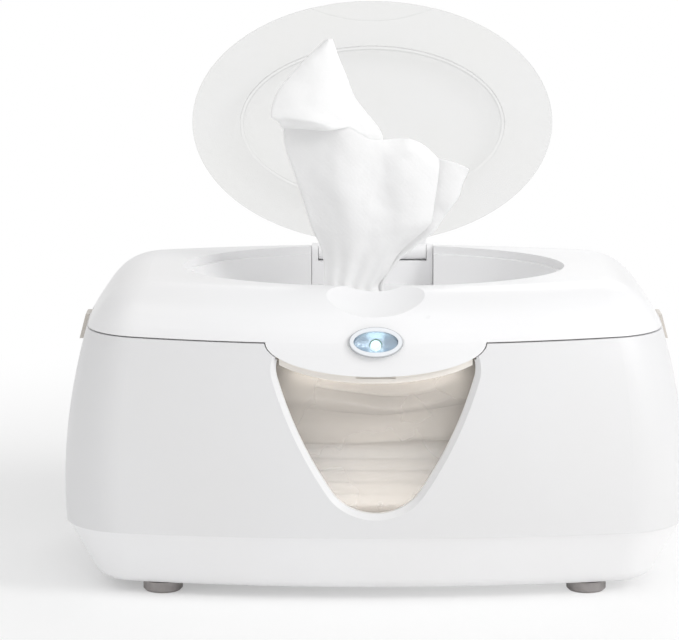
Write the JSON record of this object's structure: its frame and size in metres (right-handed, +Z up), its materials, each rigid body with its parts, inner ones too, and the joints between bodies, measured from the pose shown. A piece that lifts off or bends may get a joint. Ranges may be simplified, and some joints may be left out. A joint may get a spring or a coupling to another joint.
{
  "type": "baby wipe warmer",
  "caption": "Oblong tabletop warmer for wet wipes: hinged lid with a clear oval flip lid, front viewing window, lit oval button and side release tabs.",
  "frame": {"origin": "centre of the bounding box at the level of the feet", "axes": "+X to the object's right as seen from the front, -Y to the front with the window, +Z up"},
  "size_m": [0.286, 0.1919, 0.2585],
  "materials": {
    "casing_plastic": "satin moulded",
    "lid_plastic": "satin moulded",
    "liner_plastic": "matt cream",
    "tub_plastic": "translucent",
    "clear_plastic": "clear, faintly frosted",
    "grey_rubber": "matt",
    "seal_silicone": "matt",
    "tab_plastic": "matt",
    "bezel_plastic": "satin",
    "reflector_metal": "brushed",
    "led_clear": "clear",
    "steel": "ground",
    "nickel": "nickel plated",
    "plate_aluminium": "rolled",
    "film": "polyimide film",
    "felt": "needled felt",
    "board": "coated board",
    "black_plastic": "matt",
    "wire_pvc": "matt",
    "wipe_cloth": "damp nonwoven"
  },
  "bodies": {
    "base": {"outer_casing": "casing_plastic", "base_tray": "casing_plastic", "view_window": "clear_plastic", "inner_tub": "tub_plastic", "wipe_stack": "wipe_cloth", "loose_wipe": "wipe_cloth", "main_hinge_pins": "steel", "base_screws": "steel", "dc_jack": "black_plastic", "jack_nut": "nickel", "base_lead": "wire_pvc", "release_springs_left": "steel", "release_springs_right": "steel", "foot_front_left": "grey_rubber", "foot_front_right": "grey_rubber", "foot_rear_left": "grey_rubber", "foot_rear_right": "grey_rubber"},
    "lid": {"lid_shell": "lid_plastic", "lid_liner": "liner_plastic", "lid_screws": "steel", "lid_gasket": "seal_silicone", "heater_plate": "plate_aluminium", "heater_film": "film", "insulation_pad": "felt", "thermostat": "black_plastic", "thermal_fuse": "nickel", "orifice_seal": "seal_silicone", "flip_hinge_bracket": "lid_plastic", "flip_hinge_pin": "steel", "button_bezel": "bezel_plastic", "button_led": "led_clear", "control_pcb": "board", "tact_switch": "black_plastic", "pcb_screws": "steel", "lid_lead": "wire_pvc", "dispensed_wipe": "wipe_cloth", "button_spring": "steel"},
    "clear_lid": {"flip_lid_panel": "clear_plastic", "flip_hinge_arm": "lid_plastic"},
    "light_key": {"button_lens": "clear_plastic", "button_reflector": "reflector_metal"},
    "left_tab": {"release_button_left": "tab_plastic"},
    "right_tab": {"release_button_right": "tab_plastic"}
  },
  "joints": [
    {"name": "main_lid", "type": "hinge", "parent": "base", "child": "lid", "pos_m": [0, 0.0922, 0.1193], "axis": [-1, 0, 0], "range_deg": [0, 95]},
    {"name": "flip_lid", "type": "hinge", "parent": "lid", "child": "clear_lid", "pos_m": [0, 0.0635, 0.1375], "axis": [1, 0, 0], "range_deg": [0, 100], "deforming": ["dispensed_wipe"]},
    {"name": "light_button", "type": "slide", "parent": "lid", "child": "light_key", "axis": [0, 0.9063, -0.4226], "range_m": [0, 0.0012], "stiffness_N_per_m": 600, "deforming": ["button_spring"]},
    {"name": "release_left", "type": "slide", "parent": "base", "child": "left_tab", "axis": [1, 0, 0], "range_m": [0, 0.002], "stiffness_N_per_m": 500, "deforming": ["release_springs_left"]},
    {"name": "release_right", "type": "slide", "parent": "base", "child": "right_tab", "axis": [-1, 0, 0], "range_m": [0, 0.002], "stiffness_N_per_m": 500, "deforming": ["release_springs_right"]}
  ]
}
